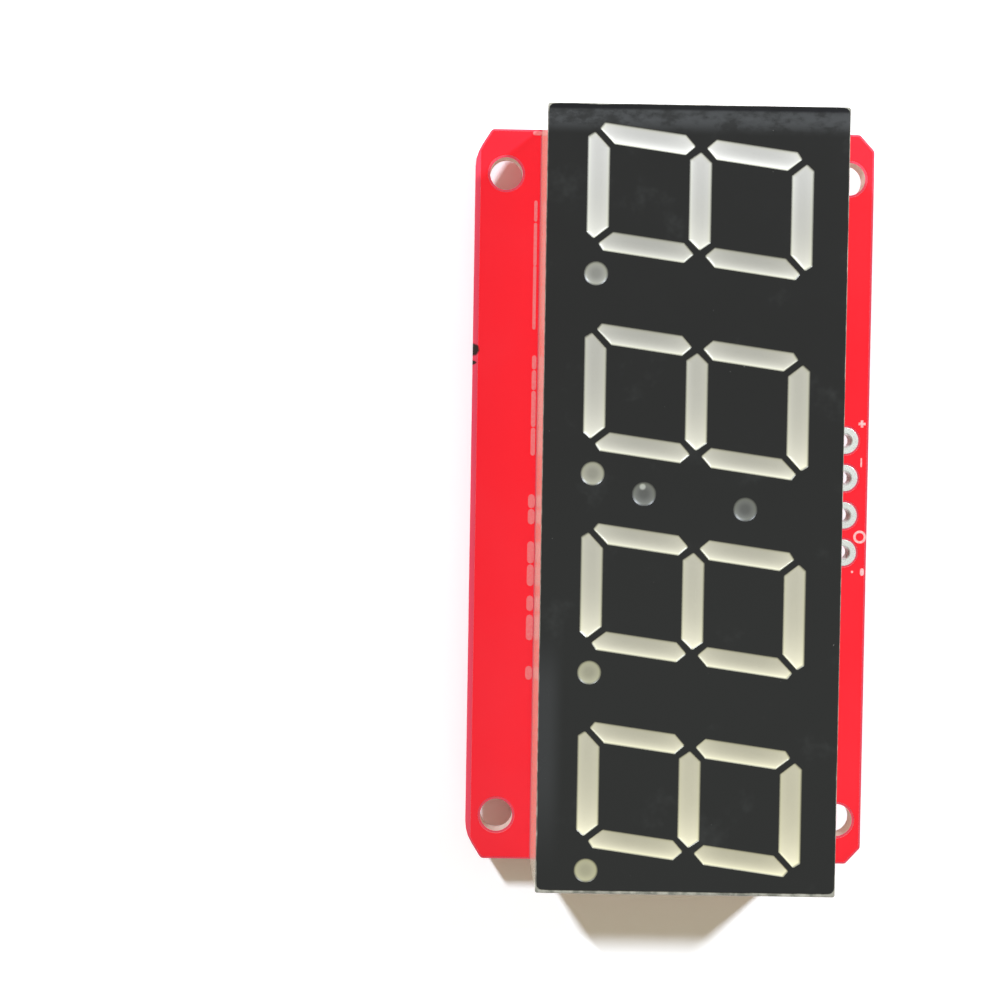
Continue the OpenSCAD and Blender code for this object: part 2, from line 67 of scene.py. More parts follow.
CAMERA_PLACE = Vector((-2.92, -11.99, 126.53)) * MM
CAMERA_TURN = Euler((radians(-1.48), radians(-0.12), radians(90.93)))
CAMERA_LENS = 66.17
CAMERA_SENSOR = 36.0
CAMERA_CLIP = (0.005, 10.0)

# two small softboxes stand at the first digit's end, one to each side
BOX_SIZE = (0.065, 0.14)
BOX_DISTANCE = 1.2
BOX_HEIGHT_ANGLE = radians(52)
BOX_SIDE_ANGLES = (radians(-35), radians(49.5))
BOX_POWERS = (11.0, 12.5)
BOX_COLOUR = (0.84, 0.90, 1.0)
SKY_COLOUR = (1.0, 0.86, 0.62)
SKY_STRENGTH = 0.31
WHITE = (1.0, 1.0, 1.0)

# the table's size, how bright it is to the light and to the eye, and where it fades to plain white
FLOOR_SIZE = 3.0
FLOOR_SHADE = 0.80
FLOOR_SEEN = 1.25
FLOOR_FADE = (50 * MM, 90 * MM)

# -------------------------------- meshes

WELD = 2e-6
NO_WIDTH = WELD / 20
FLAT_ANGLE = radians(0.5)
SHARP_ANGLE = radians(30)
SMOOTH_ANGLE = radians(50)
STRAIGHT = 1e-12  # square metres between three points that count as one line

BOARD_ROUND = 0.06 * MM
RING_ROUND = 0.02 * MM
HOUSING_ROUND = 0.06 * MM
HOUSING_END_ROUND = 0.24 * MM

# the black layer's outline: how it is told from the openings, and how it wavers
OUTLINE_W = 0.6 * MM
OUTLINE_LONG_EDGE = 2 * MM
OUTLINE_CUTS = 60
OUTLINE_NEAR = 0.02 * MM
BROAD_WAVES, FINE_WAVES = 600, 2500  # per metre
OUTLINE_INSET, OUTLINE_WAVE = 0.02, 0.05  # millimetres

# -------------------------------- copper, solder and print

POUR_INSET = 0.12 * MM
POUR_PLAIN_INSET = 0.36 * MM
POUR_T = 0.03 * MM
POUR_ROUND = POUR_T * 0.6
POUR_HOLE_GAP = 0.15 * MM
POUR_RING_GAP = 0.12 * MM
POUR_HOUSING_GAP = 0.05 * MM
PLATING_T = 0.03 * MM

# rows of marks beside the housing: distance from its wall, line width, starts and ends along the board
PRINT_T = 0.015 * MM
PRINT_LINE = 0.16 * MM
MARK_ROWS = (
    (0.32, 0.22, ((-19.9, -18.7), (-18.4, -15.7), (-15.5, -11.4))),
    (0.26, 0.30, ((-9.4, -8.74), (-8.4, -7.34), (-7.0, -4.84), (-4.5, -2.9))),
    (0.29, 0.46, ((0.1, 0.6), (1.1, 1.7), (3.3, 4.36), (4.88, 5.9), (7.0, 7.6), (8.3, 9.6), (11.8, 12.3))),
)
# a pale patch between the board's end and the housing
PATCH_INSET = 0.25 * MM
PATCH_SPAN = (0.45 * MM, 0.1 * MM)
PATCH_W = 0.3 * MM
# signs by the header holes: their row's distance from the edge, and their shifts from the holes
SIGN_EDGE_GAP = 0.47 * MM
SIGN_ARM = 0.22 * MM
PLUS_SHIFT = -1.15 * MM
MINUS_SHIFT = -1.07 * MM
MINUS_LINE = 0.1 * MM
RING_SHIFT = -1.08 * MM
RING_RADII = (0.28 * MM, 0.44 * MM)
SPECK_SHIFT = 1.3 * MM
SPECK_RISE = 0.2 * MM
SPECK_LINE = 0.26 * MM
DOT_DROP = 0.47 * MM

# chip leads, and the lands and solder around leads and caps: how much longer along X and Y
LEADS_PER_SIDE = 14
LEAD_W = 0.42 * MM
LEAD_FOOT = 0.8 * MM
LAND_T = 0.03 * MM
LAND_ROUND = 0.02 * MM
LEAD_LAND = (0.24 * MM, 0.7 * MM)
LEAD_LAND_SHIFT = 0.15 * MM
LEAD_SOLDER = (0.16 * MM, 0.4 * MM)
LEAD_SOLDER_SHIFT = 0.1 * MM
LEAD_SOLDER_H = 0.17 * MM
LEAD_SOLDER_TAPER = 0.07 * MM
CAP_LAND = (0.8 * MM, 0.24 * MM)
CAP_SOLDER = (0.5 * MM, 0.1 * MM)
CAP_SOLDER_RISE = 0.45  # share of the cap's height
CAP_SOLDER_TAPER = 0.2 * MM

# tracks under the mask of the back
TRACK_T = 0.03 * MM
TRACK_W = 0.3 * MM
PIN_TRACK_LEAD = 0.55 * MM
PIN_TRACK_SHIFT = 0.635 * MM
PIN_TRACK_END_GAP = 0.25 * MM
STUB_TRACK = 0.95 * MM
STUB_TRACK_W = TRACK_W * 0.8
HEADER_TRACK = 1.1 * MM
HEADER_TRACK_WIDTHS = (2.2, 2.2, 1.0, 1.0)  # times TRACK_W
VIA_HOLE_R = 0.16 * MM
VIA_R = 0.36 * MM
HEADER_VIA_R = 0.4 * MM
VIA_SHIFT = 0.3 * MM
# the two rails: half distance, reach below and above the chip's middle, bend and length of the ends
RAIL_X = 20.6 * MM
RAIL_LOW, RAIL_HIGH = 8.2 * MM, 7.6 * MM
RAIL_BEND = 1.5 * MM
RAIL_END = 9 * MM

# print on the back: how much longer and wider each frame is than its parts, in millimetres
BACK_FRAMES = {
    "chip_body": (0.7, -0.5),
    "capacitor_bodies": (2.4, 1.0),
    "resistor_bodies": (2.4, 1.0),
    "address_pads": (0.9, 0.9),
}
FRAME_CORNER_GAP = PRINT_LINE * 0.9
FIRST_LEAD_DOT = (-0.9 * MM, 0.6 * MM)
FIRST_LEAD_DOT_R = 0.3 * MM
BACK_PLUS_SHIFT = 1.7 * MM
BACK_PLUS_ARM = 0.45 * MM

# -------------------------------- colours

# the two of a pair are mixed by noise, and those of the ink along the row, as painted light that evens out
# the lamps' sheen falling off towards the last digit
MASK_ON_LAMINATE = ((0.73, 0.060, 0.104), (0.77, 0.074, 0.117))
MASK_ON_COPPER = ((0.99, 0.017, 0.031), (0.97, 0.027, 0.044))
LAMINATE = ((0.86, 0.64, 0.56), (0.93, 0.76, 0.67))
LAMINATE_FIBRE = (0.96, 0.87, 0.79)
STUB_DARK = (0.030, 0.016, 0.014)
PRINT_THIN = ((0.86, 0.07, 0.09), (0.82, 0.22, 0.21))
PRINT_FULL = ((0.92, 0.35, 0.36), (0.95, 0.66, 0.64))
CREAM = ((0.76, 0.74, 0.62), (0.70, 0.67, 0.54))
INK_HAZE = (0.045, 0.050, 0.035)
INK_ROW_LIGHTING = ((0.0147, 0.0148, 0.0137), (0.0173, 0.0178, 0.0163))
INK_SMUDGE = (0.027, 0.028, 0.026)
INK_PALER = (0.051, 0.053, 0.053)
INK_DUST = (0.12, 0.12, 0.11)
INK_EDGE_SHADE = (0.008, 0.008, 0.009)
CHIP_BLACK = ((0.012, 0.012, 0.013), (0.022, 0.022, 0.024))
CERAMIC = ((0.40, 0.27, 0.14), (0.52, 0.38, 0.22))
RESISTOR_GLAZE = ((0.010, 0.010, 0.012), (0.02, 0.02, 0.022))
RESISTOR_SIDE = (0.72, 0.71, 0.68)
# resin at the start of the row and at its end, the end painted warmer for the cool lamp light that falls off
# along the row, and at the first digit, painted pale for the glare on it
BAR_MILK = ((0.311, 0.305, 0.268), (0.392, 0.367, 0.255), (0.443, 0.436, 0.403))
POINT_MILK = ((0.216, 0.215, 0.187), (0.376, 0.357, 0.222), (0.216, 0.215, 0.187))
COLON_MILK = ((0.078, 0.080, 0.069),) * 3

# metals: slot, bright, dull and roughness
METALS = {
    "plated": ("plated_metal", (0.64, 0.66, 0.61), (0.56, 0.58, 0.54), 0.22),
    "solder": ("solder", (0.80, 0.81, 0.82), (0.66, 0.67, 0.68), 0.20),
    "tin": ("lead_metal", (0.82, 0.82, 0.82), (0.70, 0.70, 0.70), 0.28),
    "cap_tin": ("cap_metal", (0.80, 0.80, 0.78), (0.66, 0.66, 0.64), 0.34),
    "pad_tin": ("pad_metal", (0.84, 0.82, 0.76), (0.74, 0.72, 0.66), 0.34),
}

# pieces inside the housing: finish, light and dark
HIDDEN = {
    "lamp_board": ("laminate", (0.58, 0.52, 0.30), (0.50, 0.44, 0.24)),
    "led_dies": ("crystal", (0.62, 0.55, 0.24), (0.50, 0.42, 0.18)),
    "potting": ("potting", (0.62, 0.60, 0.50), (0.54, 0.52, 0.44)),
}

# -------------------------------- wear and painted shade, in millimetres

# broken stubs on the board's plain edge: place along it, half length, depth
STUBS = ((-9.87, 0.47, 0.45), (-9.0, 0.16, 0.28))
STUB_RAGGED = 1.6
# the haze of ink on the housing: where it starts and is full, below the top
HAZE_START, HAZE_FULL = 0.22, 0.04
# the worn band at the first digit's end: distance of its middle, half width, softness
WORN_MIDDLE, WORN_HALF, WORN_SOFT = 0.75, 0.1, 1.1
# painted shade at the face's first edge, outside the worn band: where it starts and is full
EDGE_SHADE_START, EDGE_SHADE_FULL = 0.42, 0.22
# the paler strip by the last two digits: its ends along the row, and its reach from the plain side
STRIP_FIRST, STRIP_LAST = (8.0, 12.5), (24.5, 17.0)
STRIP_START, STRIP_FULL = 1.7, 0.5
STRIP_LEVEL = 0.40

# -------------------------------- resin in the light openings

# shares count from 0 at the wall to 1 on the opening's middle line
MENISCUS = 0.07 * MM
MENISCUS_REACH = 0.16
RING_STEPS = (0.12, 0.28, 0.5, 0.72, 0.9)
# painted falloff of the cool lamp light along the row, which warms the resin: how much of Y counts, and how
# far past the row it is full
LAMP_FALLOFF_SLANT = 0.5
LAMP_FALLOFF_PAST_END = 8.0
# painted glare on the first digit: where it stops and is full, from the face's end
GLARE_STOP, GLARE_FULL = 9.8, 1.5
# tint beside the wall, its share of the colour and its reach
WALL_TINT = (1.02, 1.04, 0.82)
WALL_TINT_SHARE = 0.5
WALL_TINT_REACH = 0.45
# the light that the rim adds, and the shares over which it fades
BAR_RIM, BAR_RIM_FADE = 0.15, (0.0, 0.9)
POINT_RIM, COLON_RIM, DOT_RIM_FADE = 0.32, 0.75, (0.2, 0.8)
RIM_AT_LAST_DIGIT = 0.5
# the edge lies in the dark wall's shade
EDGE_WIDTH = 0.2
EDGE_LEVEL = 0.2
# light gathered at the wall away from the lamps, and its reach by the opening's length
BAR_GLOW, DOT_GLOW = 0.98, 0.1
GLOW_REACH = 0.166
GLOW_SHORTEST = 0.22
NEAR_GLOW = 0.08
NEAR_FADE = 2.0
TIP_GLOW = 0.45
TIP_REACH = 0.9
# openings that are narrow along the row are darker
NARROW_LEVEL = 0.72
NARROW_ROOM, WIDE_ROOM = 1.5, 5.0
# a painted glint in the lower colon dot
GLINT_AT = (-0.45, -0.10)
GLINT_R = 0.26
GLINT_GAIN = 3.0


# -------------------------------- shader nodes

class Shader:
    """Adds nodes to a node tree."""

    def __init__(self, tree):
        self.tree = tree

    def add(self, kind, inputs=None, **settings):
        """A new node with its settings, and its inputs given as values or as sockets to link."""
        made = self.tree.nodes.new("ShaderNode" + kind)
        for key, value in settings.items():
            setattr(made, key, value)
        for key, value in (inputs or {}).items():
            self.put(made, key, value)
        return made

    def put(self, node, key, value):
        """Sets one input of a node, by a link where the value is a socket."""
        socket = node.inputs[key]
        if isinstance(value, bpy.types.NodeSocket):
            self.tree.links.new(value, socket)
        elif hasattr(value, "__len__") and socket.type == "RGBA" and len(value) == 3:
            socket.default_value = (*value, 1.0)
        else:
            socket.default_value = value

    def math(self, operation, a, b=0.0, clamp=False):
        """The result of one operation on two values."""
        return self.add("Math", {0: a, 1: b}, operation=operation, use_clamp=clamp).outputs[0]

    def total(self, first, *others):
        """The sum of all values."""
        for other in others:
            first = self.math("ADD", first, other)
        return first

    def product(self, first, *others):
        """The product of all values."""
        for other in others:
            first = self.math("MULTIPLY", first, other)
        return first

    def sight(self):
        """1 for rays that show a background: the camera's own, and those off gloss or through glass."""
        rays = self.add("LightPath").outputs
        seen = rays["Is Camera Ray"]
        for name in ("Is Glossy Ray", "Is Transmission Ray"):
            seen = self.math("MAXIMUM", seen, rays[name])
        return seen


class Finish(Shader):
    """One procedural material, in the part's own coordinates in millimetres."""

    def __init__(self, name, slot=None):
        self.material = bpy.data.materials.new(name)
        self.material.use_nodes = True
        self.slot = slot
        super().__init__(self.material.node_tree)
        self.shader = self.tree.nodes["Principled BSDF"]
        coords = self.add("TexCoord").outputs["Object"]
        self.place = self.add("VectorMath", {0: coords, 3: 1 / MM}, operation="SCALE").outputs[0]
        self.axes = self.add("SeparateXYZ", {0: self.place}).outputs

    def surface(self, **inputs):
        """Sets the shader's own sockets, given with underscores for spaces."""
        for key, value in inputs.items():
            self.put(self.shader, key.replace("_", " "), value)

    def noise(self, per_mm, detail=3.0, rough=0.55, stretch=(1, 1, 1)):
        """Noise between 0 and 1 whose grain is 1 / per_mm millimetres."""
        moved = self.add("Mapping", {"Vector": self.place, "Scale": stretch})
        made = self.add("TexNoise", {
            "Vector": moved.outputs[0], "Scale": per_mm, "Detail": detail, "Roughness": rough,
        })
        return made.outputs["Fac"]

    def spread(self, value, low, high, to_low=0.0, to_high=1.0):
        """A value taken smoothly from one range to another, and held at its ends."""
        made = self.add("MapRange", {
            "Value": value, "From Min": low, "From Max": high, "To Min": to_low, "To Max": to_high,
        }, interpolation_type="SMOOTHSTEP")
        return made.outputs[0]

    def band(self, value, middle, half_width, soft):
        """1 within half_width of the middle, falling to 0 over the distance soft."""
        away = self.math("ABSOLUTE", self.math("SUBTRACT", value, middle))
        return self.spread(away, half_width, half_width + soft, 1.0, 0.0)

    def mix(self, share, a, b):
        """Colour a where the share is 0, and colour b where it is 1."""
        # sockets 6 and 7 are the node's colours, and output 2 is its colour result
        return self.add("Mix", {0: share, 6: a, 7: b}, data_type="RGBA").outputs[2]

    def level(self):
        """How level the surface lies, from 0 to 1, whether it faces up or down."""
        normal = self.add("NewGeometry").outputs["Normal"]
        return self.math("ABSOLUTE", self.add("SeparateXYZ", {0: normal}).outputs[2])

    def bump(self, height, depth):
        """Bumps of the given depth in metres from a height between 0 and 1."""
        made = self.add("Bump", {"Height": height, "Distance": depth, "Strength": 1.0})
        self.put(self.shader, "Normal", made.outputs[0])

    def attribute(self, name):
        """A value stored in the mesh."""
        return self.add("Attribute", attribute_name=name).outputs["Fac"]


# -------------------------------- materials

def box_in_mm(node):
    """Lowest and highest corner of a CAD node, in millimetres as the shaders count."""
    low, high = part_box(node)
    return low / MM, high / MM


def stub_share(f, edge_y):
    """1 on the dark, ragged stubs left where the board was broken from its panel."""
    away = 10.0
    for place, half, depth in STUBS:
        along = f.math("DIVIDE", f.math("SUBTRACT", f.axes[0], place), half)
        inward = f.math("DIVIDE", f.math("SUBTRACT", f.axes[1], edge_y), depth)
        away = f.math("MINIMUM", f.total(f.product(along, along), f.product(inward, inward)), away)
    ragged = f.product(f.math("SUBTRACT", f.noise(2.2), 0.5), STUB_RAGGED)
    return f.spread(f.total(away, ragged), 1.1, 0.5)


def mask_finish(name, red, dull):
    """Glossy red solder mask, with the glass cloth laminate bare on cut edges."""
    f = Finish(name, "board_mask")
    low, high = box_in_mm("circuit_board")
    cloud = f.noise(0.12, 2.0)
    peel = f.noise(2.4, 2.0)
    toward_end = f.spread(f.axes[0], -5.0, high.x, 0.0, 0.6)
    colour = f.mix(f.total(f.spread(cloud, 0.35, 0.7, 0.0, 0.4), toward_end), red, dull)
    layers = f.noise(1.0, 2.0, stretch=(0.5, 0.5, 9.0))
    fibre = f.noise(5.0, 2.0, stretch=(1.0, 1.0, 0.3))
    laminate = f.mix(layers, *LAMINATE)
    laminate = f.mix(f.spread(fibre, 0.55, 0.7, 0.0, 0.5), laminate, LAMINATE_FIBRE)
    cut = f.spread(f.level(), 0.35, 0.6, 1.0, 0.0)
    colour = f.mix(cut, colour, laminate)
    f.surface(Base_Color=f.mix(stub_share(f, low.y), colour, STUB_DARK), Specular_IOR_Level=0.15)
    f.surface(Roughness=f.total(f.product(cut, 0.35), f.spread(peel, 0.3, 0.7, 0.20, 0.26)))
    f.bump(f.total(peel, f.product(cloud, 2.0)), 0.004 * MM)
    return f


def print_finish():
    """White legend ink, thinner and pinker on the side without the header."""
    f = Finish("white_print", "board_mask")
    low, high = box_in_mm("circuit_board")
    grain = f.noise(6.0, 3.0)
    thin = f.mix(grain, *PRINT_THIN)
    full = f.mix(f.spread(grain, 0.3, 0.75), *PRINT_FULL)
    f.surface(Base_Color=f.mix(f.spread(f.axes[1], low.y, high.y), thin, full))
    f.surface(Roughness=f.spread(grain, 0.2, 0.8, 0.45, 0.65))
    f.bump(grain, 0.004 * MM)
    return f


def housing_finish():
    """Cream white moulded plastic, with a haze of black ink on its top rim."""
    f = Finish("housing_cream", "housing_plastic")
    top = box_in_mm("display_housing")[1].z
    cloud = f.noise(0.25, 3.0)
    grain = f.noise(9.0, 2.0)
    patchy = f.spread(f.noise(1.4), 0.3, 0.65, 0.5, 0.85)
    haze = f.product(f.spread(f.axes[2], top - HAZE_START, top - HAZE_FULL), patchy)
    f.surface(Base_Color=f.mix(haze, f.mix(cloud, *CREAM), INK_HAZE))
    f.surface(Roughness=f.spread(grain, 0.3, 0.7, 0.10, 0.16))
    f.bump(cloud, 0.0003 * MM)
    return f


def paler_share(f, low):
    """How much paler the face is: a worn band inside the first digit's lip, and a smooth paler strip by the
    last two digits.
    """
    rub = f.noise(1.1, 4.0, 0.6, stretch=(1.4, 0.8, 1.0))
    from_start = f.math("SUBTRACT", f.axes[0], low.x)
    band = f.product(
        f.band(from_start, WORN_MIDDLE, WORN_HALF, WORN_SOFT), f.spread(rub, 0.32, 0.62, 0.3, 1.0)
    )
    from_plain = f.math("SUBTRACT", f.axes[1], low.y)
    strip_along = f.product(f.spread(f.axes[0], *STRIP_FIRST), f.spread(f.axes[0], *STRIP_LAST))
    strip_across = f.spread(from_plain, STRIP_START, STRIP_FULL, 0.0, STRIP_LEVEL)
    return f.math("ADD", band, f.product(strip_along, strip_across), clamp=True)


def ink_finish():
    """Black face layer: satin, with a worn band at the first digit's end, painted shade at that edge, ink
    painted lighter towards the last digit, smudges and dust.
    """
    f = Finish("face_black", "face_ink")
    low = box_in_mm("face_layer")[0]
    blot = f.noise(0.22, 4.0, 0.65)
    grain = f.noise(14.0, 2.0)
    fleck = f.noise(2.6, 1.0, 0.4)
    paler = paler_share(f, low)
    # painted shade: darker ink right at the face's first edge
    edge_shade = f.spread(f.math("SUBTRACT", f.axes[0], low.x), EDGE_SHADE_START, EDGE_SHADE_FULL)
    # painted light: the ink is lighter towards the last digit, where less of the lamps' sheen falls
    colour = f.mix(f.spread(f.axes[0], -12.0, 12.0), *INK_ROW_LIGHTING)
    colour = f.mix(f.spread(blot, 0.58, 0.78), colour, INK_SMUDGE)
    colour = f.mix(paler, colour, INK_PALER)
    colour = f.mix(f.spread(fleck, 0.80, 0.84), colour, INK_DUST)
    colour = f.mix(edge_shade, colour, INK_EDGE_SHADE)
    f.surface(Base_Color=colour, Specular_IOR_Level=0.12)
    f.surface(Roughness=f.total(f.spread(blot, 0.4, 0.8, 0.22, 0.28), f.product(paler, 0.08)))
    f.bump(f.total(grain, f.product(blot, 2.0)), 0.003 * MM)
    return f


def resin_colour(f, cool, warm, glare):
    """Resin painted warmer along the row for the cool lamp light falling off, painted pale for glare at the
    first digit, and tinted beside the walls.
    """
    low, high = box_in_mm("face_layer")
    place = f.total(f.axes[0], f.product(f.axes[1], LAMP_FALLOFF_SLANT))
    # painted light: warmer along the row, where less of the cool lamp light is painted
    body = f.mix(f.spread(place, low.x, high.x + LAMP_FALLOFF_PAST_END), cool, warm)
    # painted glare: paler at the first digit
    body = f.mix(f.spread(f.axes[0], low.x + GLARE_STOP, low.x + GLARE_FULL), body, glare)
    walls = f.spread(f.attribute("from_wall"), 0.0, WALL_TINT_REACH, WALL_TINT_SHARE, 0.0)
    tinted = f.add("VectorMath", {0: body, 1: WALL_TINT}, operation="MULTIPLY").outputs[0]
    return f.mix(walls, body, tinted)


def resin_rim(f, rim, fade):
    """Light that reaches in from the walls, and less so towards the last digit."""
    low, high = box_in_mm("face_layer")
    return f.product(
        f.spread(f.attribute("from_wall"), *fade, rim, 0.0),
        f.spread(f.axes[0], low.x, high.x, 1.0, RIM_AT_LAST_DIGIT),
    )


def resin_glow(f, glow, tip_glow):
    """Level of the resin, with light gathered by the walls; it is lower in a narrow opening."""
    ahead, behind = f.attribute("to_far_wall"), f.attribute("to_near_wall")
    room = f.total(ahead, behind)
    # the glow reaches further back in a long opening
    reach = f.total(f.product(room, GLOW_REACH), GLOW_SHORTEST)
    far = f.math("EXPONENT", f.product(f.math("DIVIDE", ahead, reach), -1.0))
    near = f.math("EXPONENT", f.product(behind, -NEAR_FADE))
    tips = f.total(*(
        f.math("EXPONENT", f.math("DIVIDE", f.attribute(end), -TIP_REACH))
        for end in ("to_high_end", "to_low_end")
    ))
    narrow = f.spread(room, NARROW_ROOM, WIDE_ROOM, 1.0, 0.0)
    level = f.math("SUBTRACT", 1.0, f.product(narrow, 1.0 - NARROW_LEVEL))
    return f.total(
        level, f.product(near, NEAR_GLOW), f.product(far, glow), f.product(tips, narrow, tip_glow)
    )


def resin_finish(name, slot, milk, rim, rim_fade, glow, tip_glow=0.0, glint=None):
    """Milky resin that glows where light lands deep in its opening, with a painted glint if one is placed.
    """
    f = Finish(name, slot)
    cloud = f.noise(0.8, 3.0)
    body = resin_colour(f, *milk)
    patchy = f.spread(cloud, 0.3, 0.8, 0.0, -0.04)
    level = f.total(resin_glow(f, glow, tip_glow), patchy, resin_rim(f, rim, rim_fade))
    # painted glint: a small bright spot on the lower colon dot
    if glint:
        away = f.add("VectorMath", {0: f.place, 1: glint}, operation="DISTANCE").outputs["Value"]
        level = f.total(level, f.spread(away, GLINT_R, GLINT_R * 0.4, 0.0, GLINT_GAIN))
    edge = f.spread(f.attribute("from_wall"), 0.0, EDGE_WIDTH, EDGE_LEVEL, 1.0)
    lit = f.add("VectorMath", {0: body, 3: f.product(level, edge)}, operation="SCALE")
    f.surface(Base_Color=lit.outputs[0], Specular_IOR_Level=0.5)
    f.surface(Roughness=f.spread(cloud, 0.3, 0.7, 0.30, 0.38))
    f.bump(f.noise(3.0, 2.0), 0.003 * MM)
    return f


def resin_finishes():
    """The finishes of the bars, of the decimal points and of the colon's dots."""
    bars = resin_finish("segment_milk", "segment_resin", BAR_MILK, BAR_RIM, BAR_RIM_FADE, BAR_GLOW, TIP_GLOW)
    points = resin_finish("point_milk", "point_resin", POINT_MILK, POINT_RIM, DOT_RIM_FADE, DOT_GLOW)
    dot = lower_dot / MM
    # place of the painted glint
    glint = (dot.x + GLINT_AT[0], dot.y + GLINT_AT[1], face_top / MM)
    colon = resin_finish(
        "colon_milk", "colon_resin", COLON_MILK, COLON_RIM, DOT_RIM_FADE, DOT_GLOW, glint=glint
    )
    return bars, points, colon


def metal_finish(name, slot, bright, dull, rough):
    """Tinned metal with a mottled, slightly uneven surface."""
    f = Finish(name, slot)
    cloud = f.noise(1.6, 3.0)
    grain = f.noise(9.0, 3.0)
    f.surface(Base_Color=f.mix(cloud, bright, dull), Metallic=1.0)
    f.surface(Roughness=f.spread(grain, 0.25, 0.75, rough, rough + 0.14))
    f.bump(f.total(cloud, f.product(grain, 0.3)), 0.012 * MM)
    return f


def chip_finish():
    """Black moulding compound with its fine matt grain."""
    f = Finish("chip_black", "chip_plastic")
    grain = f.noise(11.0, 3.0)
    f.surface(Base_Color=f.mix(f.noise(0.35, 2.0), *CHIP_BLACK))
    f.surface(Roughness=f.spread(grain, 0.3, 0.7, 0.55, 0.72))
    f.bump(grain, 0.010 * MM)
    return f


def ceramic_finish():
    """Tan ceramic of a chip capacitor, speckled."""
    f = Finish("capacitor_tan", "capacitor_ceramic")
    speck = f.noise(12.0, 3.0)
    f.surface(Base_Color=f.mix(f.spread(speck, 0.35, 0.7), *CERAMIC))
    f.surface(Roughness=f.spread(speck, 0.3, 0.7, 0.35, 0.5))
    f.bump(speck, 0.004 * MM)
    return f


def resistor_finish():
    """Black glaze on the face of a white ceramic body."""
    f = Finish("resistor_black", "resistor_coat")
    speck = f.noise(12.0, 2.0)
    side = f.spread(f.level(), 0.4, 0.6, 1.0, 0.0)
    f.surface(Base_Color=f.mix(side, f.mix(speck, *RESISTOR_GLAZE), RESISTOR_SIDE))
    f.surface(Roughness=f.spread(speck, 0.3, 0.7, 0.25, 0.4))
    return f


def hidden_finish(name, light, dark):
    """Plain mottled finish of the pieces inside the housing."""
    f = Finish(name)
    cloud = f.noise(1.1, 3.0)
    f.surface(Base_Color=f.mix(cloud, light, dark), Roughness=f.spread(cloud, 0.3, 0.7, 0.4, 0.6))
    return f


def floor_finish():
    """White table. It is seen white, and it keeps the object's shadow near the object."""
    f = Finish("white_table")
    shade = f.mix(f.noise(0.02, 2.0), (FLOOR_SHADE,) * 3, (FLOOR_SHADE * 0.99,) * 3)
    sight = f.sight()
    diffuse = f.add("BsdfDiffuse", {"Color": f.mix(sight, shade, (FLOOR_SEEN,) * 3)})
    white = f.add("Emission", {"Color": WHITE, "Strength": 1.0})
    flat_place = f.add("VectorMath", {0: f.place, 1: (1, 1, 0)}, operation="MULTIPLY")
    away = f.add("VectorMath", {0: flat_place.outputs[0]}, operation="LENGTH").outputs["Value"]
    far = f.spread(away, FLOOR_FADE[0] / MM, FLOOR_FADE[1] / MM)
    blend = f.add("MixShader", {0: f.product(far, sight), 1: diffuse.outputs[0], 2: white.outputs[0]})
    f.put(f.tree.nodes["Material Output"], "Surface", blend.outputs[0])
    return f


# -------------------------------- mesh helpers

def piece(name, bm, finish, stands_for=(), smooth=True):
    """A piece of the module made from bm, in its finish. It stands for the CAD nodes named."""
    mesh = bpy.data.meshes.new(name)
    bm.to_mesh(mesh)
    bm.free()
    if smooth:
        mesh.shade_smooth()
        mesh.normals_split_custom_set(settled_normals(mesh))
    mesh.materials.clear()
    mesh.materials.append(finish.material)
    made = bpy.data.objects.new(name, mesh)
    bpy.context.scene.collection.objects.link(made)
    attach(made, "root")
    if stands_for:
        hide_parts(*stands_for)
    return made


def settled_normals(mesh):
    """Corner normals that follow the largest faces, so that wide flat faces shade flat."""
    around = [[] for _ in mesh.vertices]
    for face in mesh.polygons:
        for v in face.vertices:
            around[v].append(face)
    least = cos(SMOOTH_ANGLE)
    settled = []
    for face in mesh.polygons:
        for v in face.vertices:
            near = (f for f in around[v] if f.normal.dot(face.normal) > least)
            settled.append(sum((f.normal * f.area for f in near), Vector()).normalized())
    return settled


def dress(node, finish):
    """Gives a CAD node its finish."""
    slots = nodes[node].data.materials
    slots.clear()
    slots.append(finish.material)


def welded(node):
    """A copy of a CAD node's mesh whose faces share their corners."""
    bm = bmesh.new()
    bm.from_mesh(nodes[node].data)
    bmesh.ops.remove_doubles(bm, verts=bm.verts, dist=WELD)
    return bm


def solid_of(node):
    """A copy of a CAD node's mesh with its flat faces whole."""
    bm = welded(node)
    bmesh.ops.dissolve_limit(bm, angle_limit=FLAT_ANGLE, verts=bm.verts, edges=bm.edges)
    return bm


def soften(bm, width, steps=2, chosen=None):
    """Rounds the sharp edges of bm, or those of them that chosen keeps."""
    edges = [e for e in bm.edges if len(e.link_faces) == 2 and e.calc_face_angle(0.0) > SHARP_ANGLE]
    if chosen:
        edges = [e for e in edges if chosen(e)]
    bmesh.ops.bevel(
        bm, geom=edges, offset=width, segments=steps, profile=0.5, affect="EDGES", clamp_overlap=True
    )
    # where two rounded edges meet, the face between them has no width left
    bmesh.ops.remove_doubles(bm, verts=bm.verts, dist=NO_WIDTH)
    bmesh.ops.dissolve_degenerate(bm, edges=bm.edges, dist=NO_WIDTH)
    return bm


def softened(name, node, width, finish):
    """The CAD node with its sharp edges rounded."""
    return piece(name, soften(solid_of(node), width), finish, [node])


def upright(bm):
    """Turns all faces outwards, also where prisms run downwards."""
    bmesh.ops.recalc_face_normals(bm, faces=bm.faces)
    return bm


def close_sides(bm, low, high):
    """Side faces between two rings of as many corners."""
    for i in range(len(low)):
        j = (i + 1) % len(low)
        bm.faces.new((low[i], low[j], high[j], high[i]))


